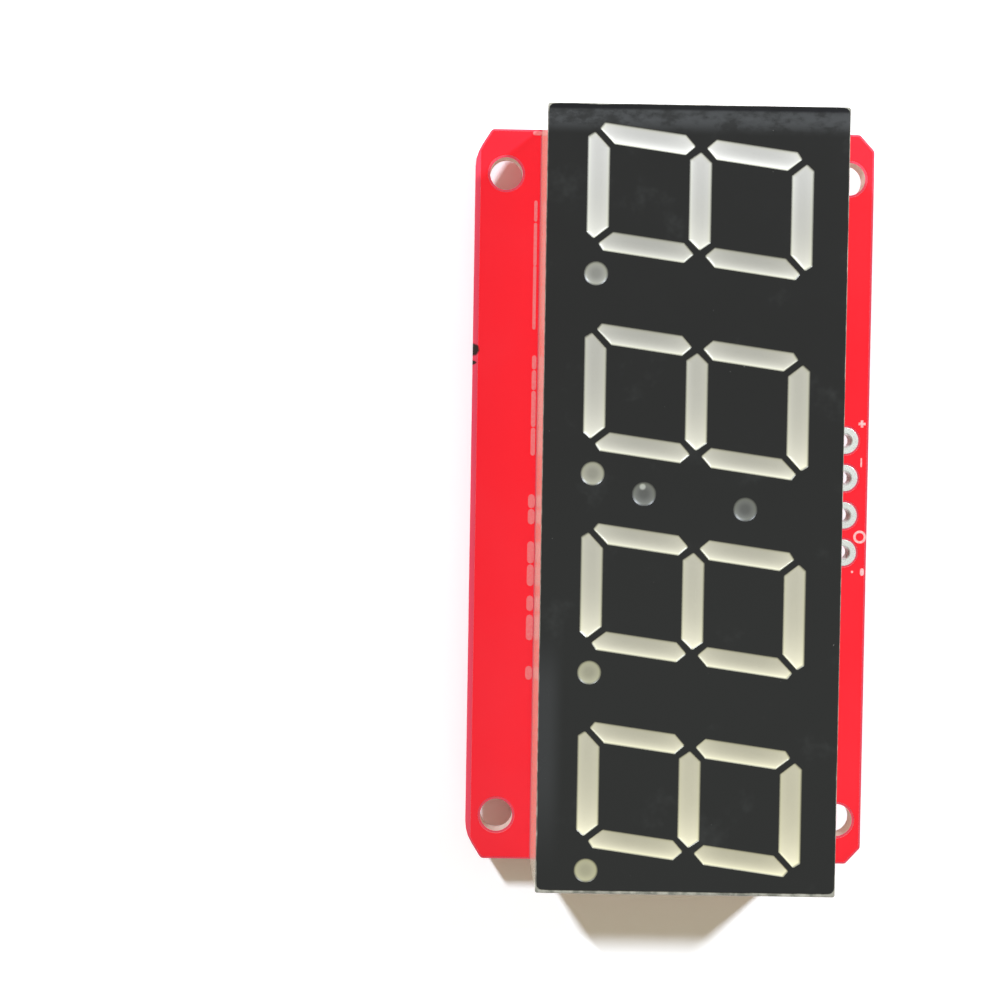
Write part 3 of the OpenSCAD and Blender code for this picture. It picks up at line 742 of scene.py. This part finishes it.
def prism(bm, outline, z0, z1):
    """An upright prism over a closed outline, given anticlockwise, from z0 up to z1."""
    low = [bm.verts.new((p[0], p[1], z0)) for p in outline]
    high = [bm.verts.new((p[0], p[1], z1)) for p in outline]
    bm.faces.new(reversed(low))
    bm.faces.new(high)
    close_sides(bm, low, high)


def round_bar(bm, start, end, width, z0, z1):
    """A bar with round ends between two points."""
    steps = 4
    along = (end - start).normalized()
    across = Vector((-along.y, along.x))
    outline = []
    for centre, first in ((end, -pi / 2), (start, pi / 2)):
        for k in range(steps + 1):
            a = first + pi * k / steps
            outline.append(centre + (along * cos(a) + across * sin(a)) * width / 2)
    prism(bm, outline, z0, z1)


def strip(bm, points, width, z0, z1):
    """A track of even width along a bent line, mitred at its bends."""
    normals = []
    for a, b in zip(points, points[1:]):
        d = (b - a).normalized()
        normals.append(Vector((-d.y, d.x)))
    mitres = [normals[0]]
    for m, n in zip(normals, normals[1:]):
        mitres.append((m + n) / (1 + m.dot(n)))
    mitres.append(normals[-1])
    left = [p + n * width / 2 for p, n in zip(points, mitres)]
    right = [p - n * width / 2 for p, n in zip(points, mitres)]
    prism(bm, right + left[::-1], z0, z1)


def disc(centre, radius, steps):
    """The corners of a circle, anticlockwise."""
    return [centre + Vector((cos(a), sin(a))) * radius for a in (2 * pi * k / steps for k in range(steps))]


def ring(bm, centre, inner, outer, z0, z1, steps):
    """A flat ring with a hole through it."""
    circles = [
        [bm.verts.new((p.x, p.y, z)) for p in disc(centre, r, steps)]
        for r, z in ((outer, z0), (outer, z1), (inner, z1), (inner, z0))
    ]
    for a, b in zip(circles, circles[1:] + circles[:1]):
        close_sides(bm, a, b)


def rectangle(centre, length, width):
    """The corners of a rectangle, anticlockwise."""
    return [
        centre + Vector((sx * length / 2, sy * width / 2))
        for sx, sy in ((-1, -1), (1, -1), (1, 1), (-1, 1))
    ]


def block(bm, centre, length, width, z0, z1, taper=0.0):
    """A box that narrows by taper on each side towards z1."""
    low, high = (
        [bm.verts.new((p.x, p.y, z)) for p in rectangle(centre, length - 2 * less, width - 2 * less)]
        for z, less in ((z0, 0.0), (z1, taper))
    )
    bm.faces.new(low[::-1])
    bm.faces.new(high)
    close_sides(bm, low, high)


def carved(bm, cutters):
    """bm with the solid of cutters taken away."""
    meshes = []
    for made in (bm, upright(cutters)):
        mesh = bpy.data.meshes.new("carving")
        made.to_mesh(mesh)
        made.free()
        meshes.append(mesh)
    objects = [bpy.data.objects.new("carving", mesh) for mesh in meshes]
    for o in objects:
        bpy.context.scene.collection.objects.link(o)
    cut = objects[0].modifiers.new("cut", "BOOLEAN")
    cut.operation = "DIFFERENCE"
    cut.solver = "EXACT"
    cut.object = objects[1]
    shown = objects[0].evaluated_get(bpy.context.evaluated_depsgraph_get())
    result = bmesh.new()
    result.from_mesh(shown.to_mesh())
    for o, mesh in zip(objects, meshes):
        bpy.data.objects.remove(o)
        bpy.data.meshes.remove(mesh)
    return result


# -------------------------------- places, from the frame

def flat(v):
    """A point seen from above."""
    return Vector((v.x, v.y))


def middle(node):
    """The middle of a CAD node's box."""
    low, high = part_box(node)
    return (low + high) / 2


def mount(name):
    """A mount of the record."""
    return next(m for m in frame["record"]["mounts"] if m["name"] == name)


board_low, board_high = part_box("circuit_board")
housing_low, housing_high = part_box("display_housing")
face_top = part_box("colon_upper_dot")[1].z
upper_dot, lower_dot = middle("colon_upper_dot"), middle("colon_lower_dot")
LEAN = (upper_dot.x - lower_dot.x) / (upper_dot.y - lower_dot.y)

pattern = mount("mounting_holes")["dims"]
MOUNT_HOLES = [
    Vector((sx * pattern["spacing_x_mm"], sy * pattern["spacing_y_mm"])) * MM / 2
    for sx in (-1, 1) for sy in (-1, 1)
]
MOUNT_HOLE_R = pattern["hole_r_mm"] * MM
HEADER_HOLES = sorted(
    (Vector(m["pos_m"][:2]) for m in frame["record"]["mounts"] if m["name"].startswith("header_hole")),
    key=lambda p: p.x,
)
HEADER_HOLE_R = mount("header_hole_1")["dims"]["r_mm"] * MM
rings_low, rings_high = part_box("header_rings")
HEADER_RING_R = (rings_high.y - rings_low.y) / 2


# -------------------------------- pieces of the display

def housing_shell(finish):
    """The moulded housing, whose top edge at the last digit's end is well rounded."""
    bm = solid_of("display_housing")
    top_x = max(v.co.x for v in bm.verts if housing_high.z - v.co.z < WELD)

    def last_edge(e):
        return all(housing_high.z - v.co.z < WELD and top_x - v.co.x < WELD for v in e.verts)

    def square_edge(e):
        return e.calc_face_angle(0.0) > SMOOTH_ANGLE

    soften(bm, HOUSING_END_ROUND, 4, last_edge)
    soften(bm, HOUSING_ROUND, 2, square_edge)
    return piece("housing_shell", bm, finish, ["display_housing"])


def outline_edges(bm, gap):
    """Outline edges of a plate, but not those of its openings."""
    xs = [v.co.x for v in bm.verts]
    ys = [v.co.y for v in bm.verts]
    x0, x1, y0, y1 = min(xs), max(xs), min(ys), max(ys)

    def outside(v):
        return min(v.co.x - x0, x1 - v.co.x, v.co.y - y0, y1 - v.co.y) < gap

    return [e for e in bm.edges if all(outside(v) for v in e.verts)]


def outline_wave(p):
    """How the ink's outline wavers at a point: broad waves with fine ones on them."""
    broad = noise.noise(Vector((p.x, p.y, 0)) * BROAD_WAVES)
    fine = noise.noise(Vector((p.x, p.y, 1)) * FINE_WAVES)
    return max(-0.4, broad + fine * 0.5)


def face_plate(finish):
    """The black layer, with an outline that wavers as printed and rubbed ink does."""
    bm = welded("face_layer")
    low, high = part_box("face_layer")
    centre, half = (low + high) / 2, (high - low) / 2
    long_edges = [e for e in outline_edges(bm, OUTLINE_W) if e.calc_length() > OUTLINE_LONG_EDGE]
    bmesh.ops.subdivide_edges(bm, edges=long_edges, cuts=OUTLINE_CUTS)
    for v in bm.verts:
        for k in (0, 1):
            side = v.co[k] - centre[k]
            if half[k] - abs(side) < OUTLINE_NEAR:
                inset = (OUTLINE_INSET + OUTLINE_WAVE * outline_wave(v.co)) * MM
                v.co[k] -= inset if side > 0 else -inset
    bmesh.ops.triangulate(bm, faces=bm.faces)
    return piece("face_plate", bm, finish, ["face_layer"], smooth=False)


def sunken_top(bm, rim, from_wall, spine):
    """Closes the top inside rim by rings that sink towards the opening's middle line."""
    top = max(v.co.z for v in rim)
    rings = [rim]
    for share in RING_STEPS:
        made = []
        for v in rim:
            p = flat(v.co).lerp(spine(v.co), share)
            made.append(bm.verts.new((p.x, p.y, top + MENISCUS * exp(-share / MENISCUS_REACH))))
            made[-1][from_wall] = share
        rings.append(made)
    for v in rim:
        v.co.z = top + MENISCUS
    for outer, inner in zip(rings, rings[1:]):
        close_sides(bm, outer, inner)
    bm.faces.new(rings[-1])


def resin_fill(node, finish):
    """Resin of one light opening, which keeps each corner's distances from the opening's walls."""
    bm = solid_of(node)
    names = ("from_wall", "to_far_wall", "to_near_wall", "to_high_end", "to_low_end")
    from_wall, far, near, high_end, low_end = (bm.verts.layers.float.new(name) for name in names)
    top = max(v.co.z for v in bm.verts)
    lid = next(f for f in bm.faces if all(v.co.z > top - WELD for v in f.verts))
    rim = list(lid.verts)
    # the lean of the digits is taken out of places along the row
    across = [v.co.x - LEAN * v.co.y for v in rim]
    heights = [v.co.y for v in rim]
    a0, a1, y0, y1 = min(across), max(across), min(heights), max(heights)
    half = min(a1 - a0, y1 - y0) / 2

    def spine(p):
        """Nearest point on the opening's middle line."""
        y = min(max(p.y, y0 + half), y1 - half)
        return Vector((min(max(p.x - LEAN * p.y, a0 + half), a1 - half) + LEAN * y, y))

    bm.faces.remove(lid)
    sunken_top(bm, rim, from_wall, spine)
    for v in bm.verts:
        along = v.co.x - LEAN * v.co.y
        v[far], v[near] = (a1 - along) / MM, (along - a0) / MM
        if a1 - a0 > y1 - y0:
            v[high_end], v[low_end] = v[far], v[near]
        else:
            v[high_end], v[low_end] = (y1 - v.co.y) / MM, (v.co.y - y0) / MM
    return piece(node + "_resin", upright(bm), finish, [node])


# -------------------------------- board, copper and print

def board_outline():
    """The board's outer edge, anticlockwise: the hull of its corners seen from above."""
    points = {(round(v.co.x, 7), round(v.co.y, 7)) for v in nodes["circuit_board"].data.vertices}
    hull = []
    ordered = sorted(points)
    for run in (ordered, ordered[::-1]):
        part = []
        for p in run:
            while len(part) > 1:
                (ax, ay), (bx, by) = part[-2], part[-1]
                if (bx - ax) * (p[1] - ay) - (by - ay) * (p[0] - ax) > STRAIGHT:
                    break
                part.pop()
            part.append(p)
        hull += part[:-1]
    return [Vector(p) for p in hull]


def clipped(outline, point, inward):
    """The part of a convex outline that lies inward of a line through point."""
    kept = []
    for a, b in zip(outline, outline[1:] + outline[:1]):
        near, next_near = (a - point).dot(inward), (b - point).dot(inward)
        if near >= 0:
            kept.append(a)
        if near * next_near < 0:
            kept.append(a.lerp(b, near / (near - next_near)))
    return kept


def pulled_in(outline, gap):
    """A convex outline, given anticlockwise, moved inwards by gap all round."""
    inner = outline
    for a, b in zip(outline, outline[1:] + outline[:1]):
        way = (b - a).normalized()
        inward = Vector((-way.y, way.x))
        inner = clipped(inner, a + inward * gap, inward)
    return inner


def copper_pour(finish):
    """Copper under the mask on both sides of the housing, kept away from edges and holes."""
    inner = pulled_in(board_outline(), POUR_INSET)
    inner = clipped(inner, Vector((0, board_low.y + POUR_PLAIN_INSET)), Vector((0, 1)))
    bm = bmesh.new()
    for edge_y, way in ((housing_low.y - POUR_HOUSING_GAP, -1), (housing_high.y + POUR_HOUSING_GAP, 1)):
        half = clipped(inner, Vector((0, edge_y)), Vector((0, way)))
        prism(bm, half, board_high.z, board_high.z + POUR_T)
    cutters = bmesh.new()
    low, high = board_high.z - POUR_T, board_high.z + 3 * POUR_T
    for at in MOUNT_HOLES:
        prism(cutters, disc(at, MOUNT_HOLE_R + POUR_HOLE_GAP, 48), low, high)
    for at in HEADER_HOLES:
        prism(cutters, disc(at, HEADER_RING_R + POUR_RING_GAP, 40), low, high)
    made = carved(upright(bm), cutters)
    middle_z = board_high.z + POUR_T / 2
    soften(made, POUR_ROUND, 2, lambda e: all(v.co.z > middle_z for v in e.verts))
    return piece("copper_pour", made, finish)


def plus_sign(bm, centre, arm, z0, z1):
    """A plus whose arms are of the given length from the centre."""
    half = PRINT_LINE * 0.55
    outline = []
    for k in range(4):
        along = Vector((cos(k * pi / 2), sin(k * pi / 2)))
        across = Vector((-along.y, along.x))
        end = centre + along * arm
        outline += [end - across * half, end + across * half, centre + (along + across) * half]
    prism(bm, outline, z0, z1)


def header_signs(bm, z0, z1):
    """Plus, minus, a small ring and two specks, in the order of the header holes."""

    def sign_at(hole, shift):
        return Vector((HEADER_HOLES[hole].x + shift, board_high.y - SIGN_EDGE_GAP))

    plus_sign(bm, sign_at(0, PLUS_SHIFT), 1.1 * SIGN_ARM, z0, z1)
    minus = sign_at(1, MINUS_SHIFT)
    reach = Vector((1.2 * SIGN_ARM, 0))
    round_bar(bm, minus - reach, minus + reach, MINUS_LINE, z0, z1)
    ring(bm, sign_at(3, RING_SHIFT), *RING_RADII, z0, z1, 24)
    speck = sign_at(3, SPECK_SHIFT)
    raised = speck + Vector((0, SPECK_RISE))
    reach = Vector((0.6 * SIGN_ARM, 0))
    round_bar(bm, raised - reach, raised + reach, SPECK_LINE, z0, z1)
    prism(bm, disc(speck - Vector((0, DOT_DROP)), PRINT_LINE / 2, 12), z0, z1)


def front_print(finish):
    """Marks beside the housing: a broken line, dashes and blocks, and signs by the header holes."""
    bm = bmesh.new()
    z0 = board_high.z + POUR_T
    z1 = z0 + PRINT_T
    for away, width, marks in MARK_ROWS:
        y = housing_low.y - away * MM
        for start, end in marks:
            round_bar(bm, Vector((start * MM, y)), Vector((end * MM, y)), width * MM, z0, z1)
    patch_x = board_low.x + PATCH_INSET
    patch_start, patch_end = (Vector((patch_x, housing_low.y - away)) for away in PATCH_SPAN)
    round_bar(bm, patch_start, patch_end, PATCH_W, z0, z1)
    header_signs(bm, z0, z1)
    return piece("front_print", upright(bm), finish)


def hole_plating(finish):
    """Thin metal walls of the header holes."""
    bm = bmesh.new()
    for at in HEADER_HOLES:
        ring(bm, at, HEADER_HOLE_R - PLATING_T, HEADER_HOLE_R, board_low.z, board_high.z, 48)
    return piece("hole_plating", upright(bm), finish)


# -------------------------------- back of the board

def lead_feet():
    """Middle and outward direction of each foot of the chip's leads."""
    low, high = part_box("chip_leads")
    pitch = (high.x - low.x - LEAD_W) / (LEADS_PER_SIDE - 1)
    for side, edge in ((-1, low.y), (1, high.y)):
        for k in range(LEADS_PER_SIDE):
            yield Vector((low.x + LEAD_W / 2 + k * pitch, edge - side * LEAD_FOOT / 2)), side


def touching(first):
    """All corners joined to the first one by edges."""
    found, todo = {first}, [first]
    while todo:
        v = todo.pop()
        for e in v.link_edges:
            other = e.other_vert(v)
            if other not in found:
                found.add(other)
                todo.append(other)
    return found


def end_cap_boxes():
    """Middle and size of each end cap on the back."""
    bm = welded("end_caps")
    seen = set()
    for first in bm.verts:
        if first in seen:
            continue
        cap = touching(first)
        seen |= cap
        low = Vector(min(v.co[k] for v in cap) for k in range(3))
        high = Vector(max(v.co[k] for v in cap) for k in range(3))
        yield (low + high) / 2, high - low
    bm.free()


def solder_lands(finish):
    """Tinned lands under the leads and end caps, with the solder drawn up around them."""
    bm = bmesh.new()
    for at, side in lead_feet():
        land = at + Vector((0, side * LEAD_LAND_SHIFT))
        block(bm, land, LEAD_W + LEAD_LAND[0], LEAD_FOOT + LEAD_LAND[1], 0.0, -LAND_T)
        drawn = at + Vector((0, side * LEAD_SOLDER_SHIFT))
        block(bm, drawn, LEAD_W + LEAD_SOLDER[0], LEAD_FOOT + LEAD_SOLDER[1],
              -LAND_T, -LEAD_SOLDER_H, LEAD_SOLDER_TAPER)
    for centre, size in end_cap_boxes():
        at = flat(centre)
        block(bm, at, size.x + CAP_LAND[0], size.y + CAP_LAND[1], 0.0, -LAND_T)
        block(bm, at, size.x + CAP_SOLDER[0], size.y + CAP_SOLDER[1],
              -LAND_T, -size.z * CAP_SOLDER_RISE, CAP_SOLDER_TAPER)
    soften(upright(bm), LAND_ROUND)
    return piece("solder_lands", bm, finish)


def pin_tracks(bm, side, z0, z1):
    """Tracks from every second lead of one side of the chip to the row of pins."""
    pins_low, pins_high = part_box("display_pins")
    row_y = (pins_high.y if side > 0 else pins_low.y) - side * PIN_TRACK_END_GAP
    feet = [at for at, s in lead_feet() if s == side]
    for at in feet[1:-1:2]:
        start = at + Vector((0, side * LEAD_FOOT / 2))
        turn = start + Vector((0, side * PIN_TRACK_LEAD))
        shifted = turn + Vector((PIN_TRACK_SHIFT, side * PIN_TRACK_SHIFT))
        strip(bm, [start, turn, shifted, Vector((shifted.x, row_y))], TRACK_W, z0, z1)


def stub_tracks(bm, side, z0, z1):
    """Short tracks from the other leads, each to a via."""
    feet = [at for at, s in lead_feet() if s == side]
    for at in feet[::2]:
        start = at + Vector((0, side * LEAD_FOOT / 2))
        end = at + Vector((0, side * (LEAD_FOOT / 2 + STUB_TRACK)))
        strip(bm, [start, end], STUB_TRACK_W, z0, z1)
        ring(bm, end + Vector((0, side * VIA_SHIFT)), VIA_HOLE_R, VIA_R, z0, z1, 20)


def header_tracks(bm, z0, z1):
    """A track from each header hole to a via, wider for the supply's two."""
    for at, wide in zip(HEADER_HOLES, HEADER_TRACK_WIDTHS):
        start = at - Vector((0, HEADER_RING_R))
        end = start - Vector((0, HEADER_TRACK))
        strip(bm, [start, end], TRACK_W * wide, z0, z1)
        ring(bm, end - Vector((0, VIA_SHIFT)), VIA_HOLE_R, HEADER_VIA_R, z0, z1, 20)


def rail(bm, side, z0, z1):
    """A wide track at one end of the board, bent inwards at both of its ends."""
    chip = middle("chip_body")
    x = chip.x + side * RAIL_X
    bend, inner = x - side * RAIL_BEND, x - side * RAIL_END
    low, high = chip.y - RAIL_LOW, chip.y + RAIL_HIGH
    path = (
        (inner, low), (bend, low), (x, low + RAIL_BEND),
        (x, high - RAIL_BEND), (bend, high), (inner, high),
    )
    strip(bm, [Vector(p) for p in path], TRACK_W * 2, z0, z1)


def back_tracks(finish):
    """Copper under the mask of the back: leads to pins and vias, header to vias, and two rails."""
    bm = bmesh.new()
    z0, z1 = 0.0, -TRACK_T
    for side in (-1, 1):
        pin_tracks(bm, side, z0, z1)
        stub_tracks(bm, side, z0, z1)
        rail(bm, side, z0, z1)
    header_tracks(bm, z0, z1)
    return piece("back_tracks", upright(bm), finish)


def frame_lines(bm, centre, length, width, z0, z1):
    """Four print lines around a rectangle."""
    corners = rectangle(centre, length, width)
    for a, b in zip(corners, corners[1:] + corners[:1]):
        inward = (b - a).normalized() * FRAME_CORNER_GAP
        round_bar(bm, a + inward, b - inward, PRINT_LINE, z0, z1)


def back_print(finish):
    """Outlines of the parts on the back, the first lead's dot, and the header's plus."""
    bm = bmesh.new()
    z0, z1 = 0.0, -PRINT_T
    for node, (longer, wider) in BACK_FRAMES.items():
        low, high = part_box(node)
        centre, size = flat(low + high) / 2, high - low
        frame_lines(bm, centre, size.x + longer * MM, size.y + wider * MM, z0, z1)
    dot = flat(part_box("chip_body")[0]) + Vector(FIRST_LEAD_DOT)
    prism(bm, disc(dot, FIRST_LEAD_DOT_R, 20), z0, z1)
    plus_sign(bm, HEADER_HOLES[0] - Vector((BACK_PLUS_SHIFT, 0)), BACK_PLUS_ARM, z0, z1)
    return piece("back_print", upright(bm), finish)


# -------------------------------- stage

def camera():
    """The camera of the photograph."""
    data = bpy.data.cameras.new("camera")
    data.sensor_width = CAMERA_SENSOR
    data.lens = CAMERA_LENS
    data.clip_start, data.clip_end = CAMERA_CLIP
    made = bpy.data.objects.new("camera", data)
    made.location = CAMERA_PLACE
    made.rotation_euler = CAMERA_TURN
    bpy.context.scene.collection.objects.link(made)
    bpy.context.scene.camera = made


def softbox(name, turn, power):
    """An upright lamp that faces the part, turned from its first digit's end towards its top."""
    lamp = bpy.data.lights.new(name, "AREA")
    lamp.shape = "RECTANGLE"
    lamp.size, lamp.size_y = BOX_SIZE
    lamp.energy = power
    lamp.color = BOX_COLOUR
    holder = bpy.data.objects.new(name, lamp)
    out = Vector((-cos(turn), sin(turn), tan(BOX_HEIGHT_ANGLE))).normalized()
    holder.location = out * BOX_DISTANCE
    holder.rotation_euler = out.to_track_quat("Z", "Y").to_euler()
    bpy.context.scene.collection.objects.link(holder)


def room():
    """A warm sky that fills the shadows and is itself seen white."""
    world = bpy.data.worlds.new("room")
    world.use_nodes = True
    bpy.context.scene.world = world
    shader = Shader(world.node_tree)
    sky = shader.tree.nodes["Background"]
    shader.put(sky, "Color", SKY_COLOUR)
    shader.put(sky, "Strength", SKY_STRENGTH)
    seen = shader.add("Background", {"Color": WHITE})
    blend = shader.add("MixShader", {0: shader.sight(), 1: sky.outputs[0], 2: seen.outputs[0]})
    shader.put(shader.tree.nodes["World Output"], "Surface", blend.outputs[0])


def table():
    """The floor, at the height of the part's lowest point."""
    bm = bmesh.new()
    bmesh.ops.create_grid(bm, x_segments=1, y_segments=1, size=FLOOR_SIZE / 2)
    mesh = bpy.data.meshes.new("table")
    bm.to_mesh(mesh)
    bm.free()
    mesh.materials.append(floor_finish().material)
    floor = bpy.data.objects.new("table", mesh)
    floor.location.z = cad_box[0].z
    bpy.context.scene.collection.objects.link(floor)


def stage():
    """Camera, lamps, sky and table."""
    bpy.context.scene.view_settings.view_transform = "Standard"
    camera()
    for k, (turn, power) in enumerate(zip(BOX_SIDE_ANGLES, BOX_POWERS)):
        softbox("softbox_%d" % (k + 1), turn, power)
    room()
    table()


# -------------------------------- the part

def fill_openings():
    """Resin in every light opening, by its kind."""
    bars, points, colon = resin_finishes()
    for name in nodes:
        if "_segment_" in name:
            resin_fill(name, bars)
        elif name.endswith("_decimal_point"):
            resin_fill(name, points)
        elif name.startswith("colon_"):
            resin_fill(name, colon)


def build():
    """Makes every piece, and dresses the solids that are shown as they are."""
    laminate_mask = mask_finish("mask_over_laminate", *MASK_ON_LAMINATE)
    copper_mask = mask_finish("mask_over_copper", *MASK_ON_COPPER)
    metal = {name: metal_finish(name, *look) for name, look in METALS.items()}
    white = print_finish()

    softened("board_panel", "circuit_board", BOARD_ROUND, laminate_mask)
    housing_shell(housing_finish())
    face_plate(ink_finish())
    fill_openings()
    softened("ring_plates", "header_rings", RING_ROUND, metal["plated"])
    hole_plating(metal["plated"])
    copper_pour(copper_mask)
    front_print(white)

    for node, look in HIDDEN.items():
        dress(node, hidden_finish(*look))
    dress("solder_joints", metal["solder"])
    # on the back: piece, the node it stands for, rounding in millimetres, finish
    for name, node, width, finish in (
        ("pin_wires", "display_pins", 0.08, metal["tin"]),
        ("chip_package", "chip_body", 0.05, chip_finish()),
        ("lead_strips", "chip_leads", 0.03, metal["tin"]),
        ("capacitor_blocks", "capacitor_bodies", 0.03, ceramic_finish()),
        ("resistor_blocks", "resistor_bodies", 0.03, resistor_finish()),
        ("cap_ends", "end_caps", 0.04, metal["cap_tin"]),
        ("bridge_pads", "address_pads", 0.02, metal["pad_tin"]),
    ):
        softened(name, node, width * MM, finish)
    solder_lands(metal["solder"])
    back_tracks(copper_mask)
    back_print(white)


build()
stage()
